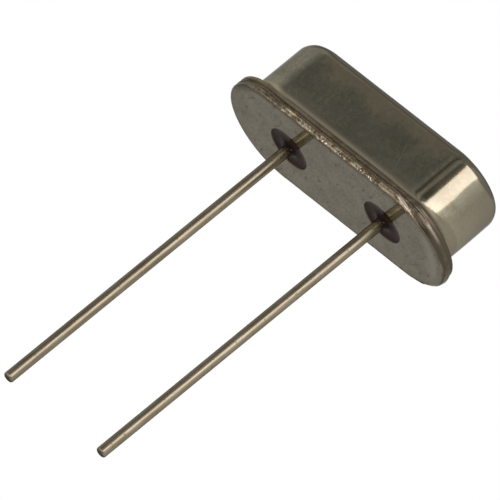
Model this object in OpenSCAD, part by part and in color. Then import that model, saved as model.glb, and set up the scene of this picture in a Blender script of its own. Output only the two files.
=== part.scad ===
// Low-profile quartz crystal in a resistance-welded metal can with two wire leads.
// z = 0 is the seating face under the base, midway between the leads. +Z points up
// through the can, X runs from lead to lead, and the leads run down along -Z.
// Base rim, weld seam and can share one oblong plan: two round ends and straight sides.

/* [Plan] */
// Distance between the centres of the two round ends
end_spacing = 6.4; // [6:0.1:8]
// Width of the can over its two flat sides
can_width = 3.7; // [3.4:0.05:4.2]

/* [Cover can] */
// Height of the can's top above the seating face
can_height = 3.4; // [2.8:0.1:6]
// Thickness of the drawn sheet
can_wall = 0.2; // [0.15:0.01:0.3]
// Outside radius where the wall turns into the top
top_round = 0.55; // [0.35:0.05:0.9]
// Outside radius where the wall flares out into the flange
foot_round = 0.42; // [0.36:0.01:0.45]
// Inside radius of the same flare
foot_inner_round = 0.4; // [0.3:0.05:0.5]
// Flat of the flange beyond the flare
foot_land = 0.055; // [0.05:0.005:0.3]
// Roll of the flange's trimmed edge towards the base
rim_roll = 0.12; // [0.06:0.01:0.15]
// Small round on the flange's upper edge
rim_round = 0.04; // [0.02:0.01:0.05]

/* [Base] */
// Thickness of the base's rim
base_rim = 0.25; // [0.2:0.05:0.4]
// Round on the lower edge of the rim
base_round = 0.1; // [0.02:0.02:0.14]
// Height of the platform above the rim
platform_height = 0.65; // [0.45:0.05:0.9]
// Gap between the platform and the wall of the can
platform_gap = 0.2; // [0.1:0.05:0.3]
// Round on the upper edge of the platform
platform_round = 0.1; // [0.05:0.01:0.2]

/* [Weld seam] */
// Thickness of the fused metal between the rims
seam_thickness = 0.05; // [0.02:0.01:0.1]
// How far the seam stays in from the edge of the rims
seam_recess = 0.07; // [0.04:0.01:0.1]

/* [Glass seals] */
// Diameter of each glass bead
glass_d = 1.78; // [1.4:0.02:2]
// How far the rim of the glass lies below the metal face
glass_recess = 0.02; // [0.01:0.01:0.05]
// Sag of the dished glass surface
glass_dish = 0.04; // [0.01:0.01:0.08]

/* [Leads] */
// Distance between the two leads
lead_pitch = 4.88; // [4.6:0.01:5.2]
// Diameter of the free, plated lead
lead_d = 0.43; // [0.38:0.01:0.5]
// Free length of the lead below the seating face
lead_length = 13.5; // [3:0.5:20]
// Plating thickness, missing inside the glass
lead_plating = 0.015; // [0.005:0.005:0.03]
// Round on the edge of the cut tip
tip_round = 0.06; // [0.02:0.01:0.12]
// Height of the lead's weld face above the platform
post_height = 0.3; // [0.25:0.05:0.5]
// Diameter of the lead's flattened head
head_d = 0.8; // [0.6:0.05:0.9]
// Thickness of the head
head_thickness = 0.12; // [0.08:0.01:0.15]

/* [Support clips] */
// Thickness of the spring sheet
clip_sheet = 0.08; // [0.06:0.01:0.12]
// Width of the strip
clip_width = 1.2; // [0.9:0.05:1.6]
// Inside radius of each bend
clip_bend = 0.06; // [0.03:0.01:0.1]
// Step from the weld face up to the shelf
clip_rise = 0.3; // [0.3:0.05:0.5]
// Distance from the lead's centre to the riser
clip_foot = 0.5; // [0.45:0.05:0.6]
// Gap between the end of the blank and the stop
stop_gap = 0.05; // [0.03:0.01:0.1]
// Height of the stop above the shelf
stop_height = 0.35; // [0.25:0.05:0.6]
// Width of the slot through stop and shelf
slot_width = 0.5; // [0.3:0.05:0.6]
// Length of the slot in the shelf
slot_length = 0.45; // [0.3:0.05:0.6]

/* [Quartz blank] */
// Length of the blank
blank_length = 8; // [7.6:0.1:8.4]
// Width of the blank
blank_width = 1.9; // [1.5:0.05:2.4]
// Thickness of the blank, which sets the frequency
blank_thickness = 0.21; // [0.12:0.01:0.35]
// Bevel on the edges of both ends
blank_bevel = 0.05; // [0.02:0.01:0.055]

/* [Electrodes] */
// Thickness of the metal film, drawn thicker than the real one
film_thickness = 0.02; // [0.01:0.005:0.03]
// Length of the field
field_length = 4.4; // [3:0.1:5]
// Width of the field
field_width = 1.4; // [1:0.1:1.5]
// Radius of the field's corners
field_round = 0.3; // [0.1:0.05:0.45]
// Width of the strip that leads to the end of the blank
tail_width = 0.5; // [0.3:0.05:0.8]

/* [Adhesive] */
// Diameter of each dab
dab_d = 1; // [0.8:0.05:1.2]
// Thickness of the bond between shelf and blank
bond = 0.05; // [0.04:0.01:0.1]
// Height of the dab over the blank
dab_cover = 0.09; // [0.06:0.01:0.15]
// Round on the dab's upper edge
dab_round = 0.08; // [0.04:0.01:0.1]

/* [Hidden] */
$fn = 96;

can_r = can_width / 2;
cavity_r = can_r - can_wall;
flange_r = can_r + foot_round + foot_land;
seam_inner_r = cavity_r + foot_inner_round;
seam_outer_r = flange_r - seam_recess;
platform_r = cavity_r - platform_gap;

flange_z = base_rim + seam_thickness;
flange_top = flange_z + can_wall;
platform_z = base_rim + platform_height;
weld_z = platform_z + post_height;
shelf_z = weld_z + clip_rise;
shelf_top = shelf_z + clip_sheet;
blank_z = shelf_top + bond;
blank_top = blank_z + blank_thickness;

lead_x = lead_pitch / 2;
sealed_d = lead_d - 2 * lead_plating;
riser_x = lead_x + clip_foot;
stop_x = blank_length / 2 + stop_gap;
stop_outer_x = stop_x + clip_sheet;
dab_x = stop_outer_x - dab_d / 2;

nickel_grey = [0.42, 0.41, 0.36];
base_grey = [0.42, 0.40, 0.36];
weld_copper = [0.55, 0.44, 0.34];
seal_glass = [0.22, 0.18, 0.17];
tinned_wire = [0.56, 0.52, 0.44];
spring_nickel = [0.62, 0.60, 0.55];
quartz = [0.85, 0.90, 0.92];
silver_film = [0.80, 0.79, 0.76];
silver_epoxy = [0.58, 0.57, 0.54];

// Sweeps a half-section round the oblong plan. In the section x is the distance out
// from the centre line and y is height.
module oblong() {
    for (turn = [0, 180])
        rotate([0, 0, turn]) {
            translate([-end_spacing / 2, 0, 0])
                rotate([90, 0, 90])
                    linear_extrude(end_spacing)
                        children();
            translate([end_spacing / 2, 0, 0])
                rotate([0, 0, -90])
                    rotate_extrude(angle = 180)
                        children();
        }
}

// What a round of the given radius takes off a lower outer corner at the origin
module corner_waste(radius) {
    translate([-radius, 0])
        difference() {
            square(radius);
            translate([0, radius])
                circle(radius);
        }
}

// Section of a flat block from the centre line out to reach, with rounded outer corners
module block_section(reach, low, high, low_round = 0, high_round = 0) {
    difference() {
        translate([0, low])
            square([reach, high - low]);
        if (low_round > 0)
            translate([reach, low])
                corner_waste(low_round);
        if (high_round > 0)
            translate([reach, high])
                mirror([0, 1])
                    corner_waste(high_round);
    }
}

// Section of the flare that joins a wall at reach to a flange whose face is at level
module flare_section(reach, level, radius) {
    translate([reach, level])
        difference() {
            square(radius);
            translate([radius, radius])
                circle(radius);
        }
}

// Stamped steel header: the rim that is welded, and the platform that stands in the can
module base_header() {
    color(base_grey)
        difference() {
            oblong() {
                block_section(flange_r, 0, base_rim, low_round = base_round);
                block_section(platform_r, base_rim, platform_z, high_round = platform_round);
            }
            for (side = [-1, 1])
                translate([side * lead_x, 0, -1])
                    cylinder(h = platform_z + 2, d = glass_d);
        }
}

// One bead that fills the base's hole round a lead, with both of its faces dished
module glass_seal(side) {
    inner = sealed_d / 2;
    chord = glass_d / 2 - inner;
    sphere_r = (pow(chord / 2, 2) + pow(glass_dish, 2)) / (2 * glass_dish);
    middle = inner + chord / 2;
    low = glass_recess;
    high = platform_z - glass_recess;
    color(seal_glass)
        translate([side * lead_x, 0, 0])
            rotate_extrude()
                difference() {
                    translate([inner, low])
                        square([chord, high - low]);
                    translate([middle, low + glass_dish - sphere_r])
                        circle(sphere_r);
                    translate([middle, high - glass_dish + sphere_r])
                        circle(sphere_r);
                }
}

// Straight wire: free length, thinner sealed length, and a flattened head for the weld
module lead(side) {
    color(tinned_wire)
        translate([side * lead_x, 0, 0])
            rotate_extrude() {
                block_section(lead_d / 2, -lead_length, 0, low_round = tip_round);
                block_section(sealed_d / 2, 0, weld_z - head_thickness);
                block_section(head_d / 2, weld_z - head_thickness, weld_z);
            }
}

// Ring of fused metal between the two rims
module weld_seam() {
    color(weld_copper)
        oblong()
            translate([seam_inner_r, base_rim])
                square([seam_outer_r - seam_inner_r, seam_thickness]);
}

// Deep-drawn cup whose foot flares out into the welded flange
module can_cover() {
    color(nickel_grey)
        oblong()
            difference() {
                union() {
                    block_section(flange_r, flange_z, flange_top, rim_roll, rim_round);
                    block_section(can_r, flange_top, can_height, high_round = top_round);
                    flare_section(can_r, flange_top, foot_round);
                }
                block_section(
                    cavity_r, flange_z, can_height - can_wall, high_round = top_round - can_wall
                );
                flare_section(cavity_r, flange_z, foot_inner_round);
            }
}

// Quarter of a bent strip about an inside centre; turn picks the quarter
module bend_section(centre, turn) {
    outer = clip_bend + clip_sheet;
    translate(centre)
        rotate(turn)
            difference() {
                intersection() {
                    circle(outer);
                    square(outer);
                }
                circle(clip_bend);
            }
}

// Straight run of the strip between two opposite corners
module run_section(low_corner, high_corner) {
    translate(low_corner)
        square(high_corner - low_corner);
}

// Side view of the clip: weld foot, riser, shelf and end stop
module clip_section() {
    foot_start = lead_x - clip_width / 2;
    foot_top = weld_z + clip_sheet;
    riser_outer_x = riser_x + clip_sheet;
    run_section([foot_start, weld_z], [riser_x - clip_bend, foot_top]);
    bend_section([riser_x - clip_bend, foot_top + clip_bend], -90);
    run_section([riser_x, foot_top + clip_bend], [riser_outer_x, shelf_z - clip_bend]);
    bend_section([riser_outer_x + clip_bend, shelf_z - clip_bend], 90);
    run_section([riser_outer_x + clip_bend, shelf_z], [stop_x - clip_bend, shelf_top]);
    bend_section([stop_x - clip_bend, shelf_top + clip_bend], -90);
    run_section([stop_x, shelf_top + clip_bend], [stop_outer_x, shelf_top + stop_height]);
}

// Spring clip welded to a lead's head, drawn on the right; its shelf carries the blank
module clip_form() {
    difference() {
        intersection() {
            translate([0, clip_width / 2, 0])
                rotate([90, 0, 0])
                    linear_extrude(clip_width)
                        clip_section();
            union() {
                translate([lead_x, 0, weld_z - 1])
                    cylinder(h = clip_rise + stop_height + 3, d = clip_width);
                translate([lead_x, -clip_width, weld_z - 1])
                    cube([stop_outer_x, 2 * clip_width, clip_rise + stop_height + 3]);
            }
        }
        translate([stop_outer_x - slot_length, -slot_width / 2, shelf_z - clip_sheet])
            cube([slot_length + 1, slot_width, stop_height + 1]);
    }
}

// Puts a form drawn on the right at either lead
module on_side(side) {
    rotate([0, 0, side > 0 ? 0 : 180])
        children();
}

module support_clip(side) {
    color(spring_nickel)
        on_side(side)
            clip_form();
}

// AT-cut strip with bevelled ends
module quartz_blank() {
    half = blank_length / 2;
    color(quartz)
        translate([0, blank_width / 2, 0])
            rotate([90, 0, 0])
                linear_extrude(blank_width)
                    polygon([
                        [-half, blank_z + blank_bevel],
                        [-half + blank_bevel, blank_z],
                        [half - blank_bevel, blank_z],
                        [half, blank_z + blank_bevel],
                        [half, blank_top - blank_bevel],
                        [half - blank_bevel, blank_top],
                        [-half + blank_bevel, blank_top],
                        [-half, blank_top - blank_bevel]
                    ]);
}

// Metal film: a field with round corners and a tail to the blank's end on one side
module electrode(side, level) {
    long = field_length / 2 - field_round;
    wide = field_width / 2 - field_round;
    color(silver_film)
        translate([0, 0, level])
            linear_extrude(film_thickness) {
                square([field_length, 2 * wide], center = true);
                square([2 * long, field_width], center = true);
                for (x = [-long, long], y = [-wide, wide])
                    translate([x, y])
                        circle(field_round);
                on_side(side)
                    translate([0, -tail_width / 2])
                        square([blank_length / 2 - blank_bevel, tail_width]);
            }
}

// Silver-filled dab that wraps the end of the blank and fills the clip's slot
module adhesive(side) {
    color(silver_epoxy)
        difference() {
            on_side(side)
                translate([dab_x, 0, 0])
                    rotate_extrude()
                        block_section(dab_d / 2, shelf_z, blank_top + dab_cover, 0, dab_round);
            support_clip(side);
            quartz_blank();
            electrode(-1, blank_z - film_thickness);
            electrode(1, blank_top);
        }
}

base_header();
glass_seal(-1);  // glass_seal_left
glass_seal(1);  // glass_seal_right
lead(-1);  // lead_left
lead(1);  // lead_right
weld_seam();
can_cover();
support_clip(-1);  // support_clip_left
support_clip(1);  // support_clip_right
quartz_blank();
electrode(-1, blank_z - film_thickness);  // electrode_lower
electrode(1, blank_top);  // electrode_upper
adhesive(-1);  // adhesive_left
adhesive(1);  // adhesive_right
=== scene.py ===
import bmesh
import bpy
import numpy as np
from mathutils import Matrix


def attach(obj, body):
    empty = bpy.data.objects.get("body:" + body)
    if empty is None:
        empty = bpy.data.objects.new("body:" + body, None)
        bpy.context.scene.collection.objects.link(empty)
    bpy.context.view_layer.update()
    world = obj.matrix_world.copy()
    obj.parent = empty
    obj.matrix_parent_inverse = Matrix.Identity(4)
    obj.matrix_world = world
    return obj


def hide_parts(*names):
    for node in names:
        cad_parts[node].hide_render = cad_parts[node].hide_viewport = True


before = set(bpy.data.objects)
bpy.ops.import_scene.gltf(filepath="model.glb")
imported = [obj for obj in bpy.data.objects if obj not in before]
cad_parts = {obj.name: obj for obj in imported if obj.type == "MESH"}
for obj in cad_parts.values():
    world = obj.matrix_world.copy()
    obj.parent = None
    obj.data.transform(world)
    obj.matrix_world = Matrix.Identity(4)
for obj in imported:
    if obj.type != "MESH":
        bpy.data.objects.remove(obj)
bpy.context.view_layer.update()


# The header is a stamped steel blank, nickel plated, with a platform that fits in the can.
# Its punched edge shows the copper under the plating as upright streaks, where the can
# was welded down on it. Towards the right corner the weld's scale covers the copper.
MILLIMETRE = 0.001
END_SPACING = 6.4
FLANGE_REACH = 2.325
RIM_HEIGHT = 0.25
RIM_ROUND = 0.1
RIM_BREAK = 0.02
PLATFORM_REACH = 1.45
PLATFORM_TOP = 0.90
PLATFORM_ROUND = 0.1
SEAL_RADIUS = 0.89
HOLE_ROUND = 0.03
LEAD_X = 2.44
END_STEPS = 288
STRAIGHT_STEPS = 256

# Where the edge is bare copper in x, and the fold in it near the right corner: its start and
# end in x, its level at each, and half its width.
BARE_FROM, BARE_TO = -4.25, 4.42
BARE_FADE = 0.18
LOWER_FOLD = (3.38, 4.40, 0.235, 0.0, 0.088)
FOLD_SWELL = 0.022

# The scores in the cut edge: two depths, how much is cut off evenly, where they lie in height
# and how far they fade out along the edge.
SCORE_DEPTHS = (0.0045, 0.0055)
SCORE_FLOOR = 0.008
SCORE_MIDDLE, SCORE_HALF = 0.10, 0.09
SCORE_FADE = 0.2
EDGE_BAND = 0.125

# The rim was pressed further out round the back of the right end. The range is in degrees
# round that end, counted from the front.
BACK_RANGE = (80.0, 116.0, 140.0, 175.0)
BACK_FLASH = 0.065


def oblong_plan():
    """Stations once round the oblong, an even step apart at the flange's edge.

    Returns each station's foot on the centre line and its outward direction. On the two
    straights the foot moves and the direction stays; on the two ends the foot stays and
    the direction turns through a half circle.
    """
    half = END_SPACING / 2
    run = np.linspace(-half, half, STRAIGHT_STEPS, endpoint=False)
    turn = np.linspace(0, np.pi, END_STEPS, endpoint=False)
    foot = np.concatenate([run, np.full(END_STEPS, half), -run, np.full(END_STEPS, -half)])
    out_x = np.concatenate([0 * run, np.sin(turn), 0 * run, -np.sin(turn)])
    out_y = np.concatenate([0 * run - 1, -np.cos(turn), 0 * run + 1, np.cos(turn)])
    return foot, out_x, out_y


def swept(profile, lift=0.0):
    """Carries a profile of (reach, height) rows round the oblong.

    A point is the station's foot plus reach times its outward direction. lift moves each
    point along the profile's own normal, which is the tangent turned a quarter.
    """
    foot, out_x, out_y = oblong_plan()
    slope = np.gradient(profile, axis=0)
    slope /= np.linalg.norm(slope, axis=1)[:, None] + 1e-12
    reach = profile[:, :1] + slope[:, 1:] * lift
    height = profile[:, 1:] - slope[:, :1] * lift + 0 * foot
    return np.stack([foot + reach * out_x, reach * out_y + 0 * foot, height], axis=-1)


def arc(centre, radius, start, end, steps):
    """Points on a circle about a centre, between two angles in degrees."""
    angle = np.radians(np.linspace(start, end, steps))
    return np.stack([centre[0] + radius * np.cos(angle), centre[1] + radius * np.sin(angle)], 1)


def run_of(start, end, steps):
    """Evenly spaced points on a straight line, both ends counted."""
    return np.linspace(start, end, steps)


def grain(seed, shape, size):
    """Smooth random field that repeats, with its grain's size along each axis in steps.

    White noise is multiplied, frequency by frequency, by the transform of a bell curve,
    and brought back to a spread of one.
    """
    noise = np.random.default_rng(seed).standard_normal(shape)
    for axis, width in enumerate(size):
        frequency = np.fft.fftfreq(shape[axis]) * width * np.pi
        bell = np.exp(-frequency**2)
        noise = np.fft.ifft(np.fft.fft(noise, axis=axis) * np.expand_dims(bell, 1 - axis), axis=axis)
    return noise.real / noise.real.std()


def eased(value, low, high):
    """0 below low, 1 above high, and a smooth cubic between them."""
    share = np.clip((value - low) / (high - low), 0, 1)
    return share * share * (3 - 2 * share)


def eased_within(value, low, full, still, gone):
    """1 from full to still, 0 below low and above gone, and smooth cubics between them."""
    return eased(value, low, full) * (1 - eased(value, still, gone))


def solid_piece(name, sheets, slot, *replaced):
    """Makes one closed smooth mesh out of grids of points in millimetres.

    Each sheet is (points, whether its columns join round). Neighbouring rows and columns
    span a face, and the sheets are welded where their edges meet.
    """
    points, faces, count = [], [], 0
    for grid, joined in sheets:
        rows, columns = grid.shape[:2]
        index = np.arange(rows * columns).reshape(rows, columns) + count
        side = np.roll(index, -1, axis=1) if joined else index[:, 1:]
        near = index if joined else index[:, :-1]
        faces.append(np.stack([near[:-1], side[:-1], side[1:], near[1:]], -1).reshape(-1, 4))
        points.append(grid.reshape(-1, 3))
        count += rows * columns
    mesh = bpy.data.meshes.new(name)
    mesh.from_pydata(np.concatenate(points) * MILLIMETRE, [], np.concatenate(faces))
    work = bmesh.new()
    work.from_mesh(mesh)
    bmesh.ops.remove_doubles(work, verts=work.verts, dist=1e-7)
    bmesh.ops.recalc_face_normals(work, faces=work.faces)
    work.to_mesh(mesh)
    work.free()
    mesh.shade_smooth()
    piece = bpy.data.objects.new(name, mesh)
    bpy.context.scene.collection.objects.link(piece)
    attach(piece, "root")
    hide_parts(*replaced)
    return piece


def holed_face(reach, height, rings, inward):
    """Flat oblong face with a round hole at each lead, as two sheets that meet at x = 0.

    Each sheet fans out from its hole: a point is the blend of the hole's edge and the
    outline, both seen from the hole's centre in the same direction. The hole's edge is a
    quarter circle, and inward is the sign of the way from the face into the metal.
    """
    foot, out_x, out_y = oblong_plan()
    outline = np.stack([foot + reach * out_x, reach * out_y], -1)
    middle = STRAIGHT_STEPS // 2
    right = outline[middle : middle + STRAIGHT_STEPS + END_STEPS + 1]
    back = run_of((0, reach), (0, -reach), 40)[1:]
    right = np.concatenate([right, back])
    centre = np.array([LEAD_X, 0.0])
    ray = right - centre
    way = ray / np.linalg.norm(ray, axis=1)[:, None]
    bend = arc((SEAL_RADIUS + HOLE_ROUND, HOLE_ROUND), HOLE_ROUND, 180, 270, 6)[:, None, :]
    lip = centre + way * bend[..., :1]
    drop = height + inward * bend[..., 1:] + 0 * way[:, :1]
    share = np.linspace(0, 1, rings)[1:, None, None]
    flat = lip[-1] + (right - lip[-1]) * share
    level = np.full(flat.shape[:2] + (1,), height)
    sheet = np.concatenate([np.concatenate([lip, flat]), np.concatenate([drop, level])], -1)
    return [(sheet, False), (sheet * (-1, -1, 1), False)]


class Wire:
    """A socket in a node tree. Arithmetic on it adds Math nodes."""

    def __init__(self, tree, socket=None):
        self.tree, self.socket = tree, socket

    def node(self, kind, settings, sockets, out=0):
        """Adds a node, with its settings first and then its sockets' values or links.

        A colour is given as three numbers.
        """
        made = self.tree.nodes.new("ShaderNode" + kind)
        for key, value in settings.items():
            setattr(made, key, value)
        for key, value in sockets.items():
            if isinstance(value, Wire):
                self.tree.links.new(value.socket, made.inputs[key])
            elif made.inputs[key].type == "RGBA":
                made.inputs[key].default_value = (*value, 1)
            else:
                made.inputs[key].default_value = value
        return Wire(self.tree, made.outputs[out])

    def math(self, operation, first, second=0.0):
        """Adds one Math node."""
        return self.node("Math", {"operation": operation}, {0: first, 1: second})

    def __add__(self, other):
        return self.math("ADD", self, other)

    def __sub__(self, other):
        return self.math("SUBTRACT", self, other)

    def __rsub__(self, other):
        return self.math("SUBTRACT", other, self)

    def __mul__(self, other):
        return self.math("MULTIPLY", self, other)

    __radd__ = __add__
    __rmul__ = __mul__

    def step(self, low, high):
        """0 below low, 1 above high, and smooth between them."""
        settings = {"interpolation_type": "SMOOTHSTEP"}
        return self.node("MapRange", settings, {0: self, 1: low, 2: high, 3: 0.0, 4: 1.0})

    def fall(self, low, high):
        """1 below low, 0 above high, and smooth between them."""
        return 1 - self.step(low, high)

    def within(self, low, full, still, gone):
        """1 from full to still, 0 below low and above gone, and smooth between them."""
        return self.step(low, full) * self.fall(still, gone)

    def blend(self, start, end):
        """A colour between two, by this value."""
        sockets = {0: self, 6: start, 7: end}
        return self.node("Mix", {"data_type": "RGBA"}, sockets, out=2)


def place(tree, stretch=(1, 1, 1)):
    """Object coordinates in millimetres, stretched along each axis."""
    start = Wire(tree)
    spot = start.node("TexCoord", {}, {}, out="Object")
    scale = tuple(k / MILLIMETRE for k in stretch)
    return start.node("Mapping", {}, {"Vector": spot, "Scale": scale})


def along(spot, axis):
    """One coordinate of an unstretched place, in millimetres."""
    return spot.node("SeparateXYZ", {}, {0: spot}, out=axis)


def cloud(spot, size, detail=2.0, rough=0.5, warp=0.0):
    """Noise from 0 to 1 whose patches are about size millimetres across."""
    sockets = {"Scale": 1 / size, "Detail": detail, "Roughness": rough, "Distortion": warp}
    return spot.node("TexNoise", {}, {"Vector": spot, **sockets})


def reach_of(spot):
    """Distance in millimetres from the oblong's centre line, read from a place.

    Folding x to its absolute value, less half the spacing and never below zero, turns
    the oblong into a circle.
    """
    x, y = along(spot, "X"), along(spot, "Y")
    past = x.math("MAXIMUM", x.math("ABSOLUTE", x) - END_SPACING / 2, 0.0)
    return x.math("SQRT", past * past + y * y)


def hole_distance(spot):
    """Distance in millimetres from the nearer lead's axis, read from a place."""
    x, y = along(spot, "X"), along(spot, "Y")
    past = x.math("ABSOLUTE", x) - LEAD_X
    return x.math("SQRT", past * past + y * y)


def relief(height, depth, under=None):
    """Bump from a height, with the depth in millimetres that a height of 1 stands for."""
    sockets = {"Height": height, "Distance": depth * MILLIMETRE}
    if under:
        sockets["Normal"] = under
    return height.node("Bump", {}, sockets)


def finish_of(name, paint):
    """A material whose shader takes what paint returns for its tree, socket by socket."""
    material = bpy.data.materials.new(name)
    material.use_nodes = True
    shader = material.node_tree.nodes["Principled BSDF"]
    for key, value in paint(material.node_tree).items():
        if isinstance(value, Wire):
            material.node_tree.links.new(value.socket, shader.inputs[key])
        elif shader.inputs[key].type == "RGBA":
            shader.inputs[key].default_value = (*value, 1)
        else:
            shader.inputs[key].default_value = value
    return material


def dress(piece, material):
    """Gives a piece, or a node of the frame, one material in place of its own."""
    piece.data.materials.clear()
    piece.data.materials.append(material)


def on_fold(spot, fold):
    """1 on a smooth fold of squeezed metal that slopes along the right end, 0 off it."""
    start, end, start_level, end_level, half = fold
    x = along(spot, "X")
    level = start_level + (x - start) * ((end_level - start_level) / (end - start))
    off = x.math("ABSOLUTE", along(spot, "Z") - level)
    return x.within(start, start + 0.25, end - 0.25, end) * off.fall(half * 0.55, half * 1.15)


def fold_lift(station, level, fold):
    """A fold's own swell, 0 to 1: a bell across it that fades in and out along it."""
    start, end, start_level, end_level, half = fold
    middle = start_level + (end_level - start_level) * (station - start) / (end - start)
    window = eased_within(station, start, start + 0.3, end - 0.3, end)
    return window * np.exp(-(((level - middle) / (half * 0.8)) ** 2))


def bare_span(fade):
    """The four marks in x between which the edge is bare copper, eased by fade each way."""
    return BARE_FROM - fade, BARE_FROM + fade, BARE_TO - fade, BARE_TO + fade


# Marks in x: where the right end comes in, and the nose, the stretch of rim round its corner.
RIGHT_END = (3.6, 4.2)
NOSE = (3.1, 3.5, 4.5, 4.8)

# The plating's colours, from the broad face out to the rim. A pair is dull and bright. The
# steel was rolled at a slant, so its grain and specks are drawn out that way (in radians).
# LEAN is the plate's slope along x in its reflections.
ROLLING_TURN = -0.583
ROLLING_STRETCH = 0.36
LEAN = 0.028
PLATING = (0.350, 0.319, 0.250), (0.456, 0.426, 0.346)
# Real specks, and painted shade along the rim's crease.
SPECK_AND_CREASE_SHADE = (0.235, 0.195, 0.135)
# Painted shade round each hole's lip.
HOLE_LIP_SHADE = (0.10, 0.085, 0.065)
POLISHED_END = (0.520, 0.484, 0.396)
RIM_STAIN = (0.235, 0.200, 0.145)
# Painted shade on the rim's rounding at the ends, and a painted highlight on it at the nose.
ROUNDING_SHADE = (0.175, 0.150, 0.110)
NOSE_ROUNDING_HIGHLIGHT = (0.500, 0.415, 0.300)


def tail_of(spot):
    """1 on the right end from the line through the leads back, 0 off it."""
    return along(spot, "X").step(*RIGHT_END) * along(spot, "Y").step(-0.5, 0.2)


def rolled_plating(spot, tarnish, bare):
    """Grey plating: grain and specks, a stain along the rim, and a polished right end.

    The rim's rounding has painted shade at both ends and a painted highlight at the nose.
    Painted shade also lies along the crease before the rim and round each hole's lip.
    """
    x, reach = along(spot, "X"), reach_of(spot)
    rolled = spot.node("Mapping", {}, {"Vector": spot, "Rotation": (0, 0, ROLLING_TURN)})
    rolled = rolled.node("Mapping", {}, {"Vector": rolled, "Scale": (1, ROLLING_STRETCH, 1)})
    grainy = cloud(rolled, 0.10, detail=3)
    plating = (tarnish * 0.50 + grainy * 0.50).step(0.36, 0.64).blend(*PLATING)
    speck = cloud(rolled, 0.20, detail=1).step(0.60, 0.72) * cloud(spot, 1.3).step(0.40, 0.54)
    # Painted shade along the crease before the rim, on the bare stretch, in the specks' colour.
    crease_shade = reach.within(2.06, 2.20, 2.25, 2.30)
    plating = (speck * 0.80 + crease_shade * bare * 0.62).blend(plating, SPECK_AND_CREASE_SHADE)
    # Painted shade round each hole's lip, where the face dips into the glass.
    lip = hole_distance(spot).fall(SEAL_RADIUS + HOLE_ROUND * 0.7, SEAL_RADIUS + HOLE_ROUND * 1.5)
    plating = lip.blend(plating, HOLE_LIP_SHADE)
    polished = (x + tarnish * 0.5).step(4.80, 5.35) * (1 - reach.step(1.93, 2.15) * 0.95)
    plating = polished.blend(plating, POLISHED_END)
    margin = 1.95 + x.step(-3.4, 3.4) * 0.13
    stain = (reach + (tarnish - 0.5) * 0.1 - margin).step(0.0, 0.27) * (1 - bare * 0.97)
    front = along(spot, "Y").fall(-1.9, -0.8)
    plating = (stain * (0.25 + front * 0.75)).blend(plating, RIM_STAIN)
    # The rim's rounding: painted shade at both ends and a painted highlight at the nose.
    rounding = reach.step(2.235, 2.275)
    right = x.step(*RIGHT_END) * (1 - bare) * (1 - tail_of(spot))
    shaded_ends = right + x.fall(-3.8, -2.8) * 0.5
    plating = (rounding * shaded_ends).blend(plating, ROUNDING_SHADE)
    return (x.within(*NOSE) * rounding * 0.8).blend(plating, NOSE_ROUNDING_HIGHLIGHT)


# The bare copper's colours, dull and bright, low and high on the edge.
LOW_COPPER = (0.122, 0.093, 0.059), (0.360, 0.288, 0.199)
HIGH_COPPER = (0.195, 0.150, 0.097), (0.620, 0.498, 0.341)
LOW_NOSE = (0.135, 0.104, 0.066), (0.360, 0.288, 0.199)
HIGH_NOSE = (0.150, 0.116, 0.075), (0.450, 0.362, 0.248)
# Low copper at the nose's corner, painted brighter as a highlight.
LOW_CORNER_HIGHLIGHT = (0.225, 0.173, 0.111), (0.560, 0.450, 0.312)
HIGH_CORNER = (0.200, 0.154, 0.100), (0.530, 0.428, 0.296)
FADED_COPPER = (0.120, 0.096, 0.068), (0.245, 0.196, 0.140)
FADED_CRUMB = (0.085, 0.068, 0.048)
FARTHEST_COPPER = (0.098, 0.081, 0.056)
# Sparks are painted glints.
SPARK_GLINT = (0.92, 0.78, 0.64)
BURNT_COPPER = (0.13, 0.102, 0.066)
PRESSED_COPPER = (0.56, 0.475, 0.362), (0.80, 0.68, 0.52)
PRESSED_CORNER = (0.215, 0.171, 0.120)


def bare_copper(spot, streaks, clump, fold):
    """Sheared copper: crumbs and sparks, which are painted glints, faded at the left end and burnt
    under the weld.

    The nose has its own colours, with a painted highlight low at its corner, and the fold on it is
    pressed smooth and bright.
    """
    x, height = along(spot, "X"), along(spot, "Z")
    nose, corner = x.within(*NOSE), x.step(3.95, 4.2)
    crumb = (streaks * (0.82 + clump * 0.30)).step(0.34, 0.66)
    low = nose.blend(crumb.blend(*LOW_COPPER), crumb.blend(*LOW_NOSE))
    # Low on the nose's corner the copper is painted brighter, a painted highlight.
    low = (nose * corner).blend(low, crumb.blend(*LOW_CORNER_HIGHLIGHT))
    high = nose.blend(crumb.blend(*HIGH_COPPER), crumb.blend(*HIGH_NOSE))
    high = (nose * corner).blend(high, crumb.blend(*HIGH_CORNER))
    copper = height.step(0.04, 0.15).blend(low, high)
    faded = x.fall(-3.4, -2.3)
    dim = (crumb * 0.6 + 0.4).blend(FADED_CRUMB, height.step(0.03, 0.09).blend(*FADED_COPPER))
    dim = (x.fall(-4.1, -3.5) * 0.75).blend(dim, FARTHEST_COPPER)
    copper = (faded * 0.85).blend(copper, dim)
    burnt = height + streaks * 0.10 + x.step(3.8, 4.2) * 0.06 - nose * 0.02
    burnt = (burnt + x.fall(-3.9, -3.3) * 0.06).step(0.22, 0.31)
    # Sparks: painted glints scattered on the copper, fewer high up, none under the burn or at the
    # faded left end.
    spark_glints = cloud(spot, 0.10, detail=1).step(0.53, 0.70) * cloud(spot, 0.42).step(0.44, 0.56)
    spark_glints = spark_glints * (1 - burnt) * (1 - height.step(0.10, 0.20) * 0.6) * (1 - faded)
    copper = burnt.blend(spark_glints.blend(copper, SPARK_GLINT), BURNT_COPPER)
    pressed = corner.blend(height.step(0.12, 0.17).blend(*PRESSED_COPPER), PRESSED_CORNER)
    return fold.blend(copper, pressed)


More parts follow.
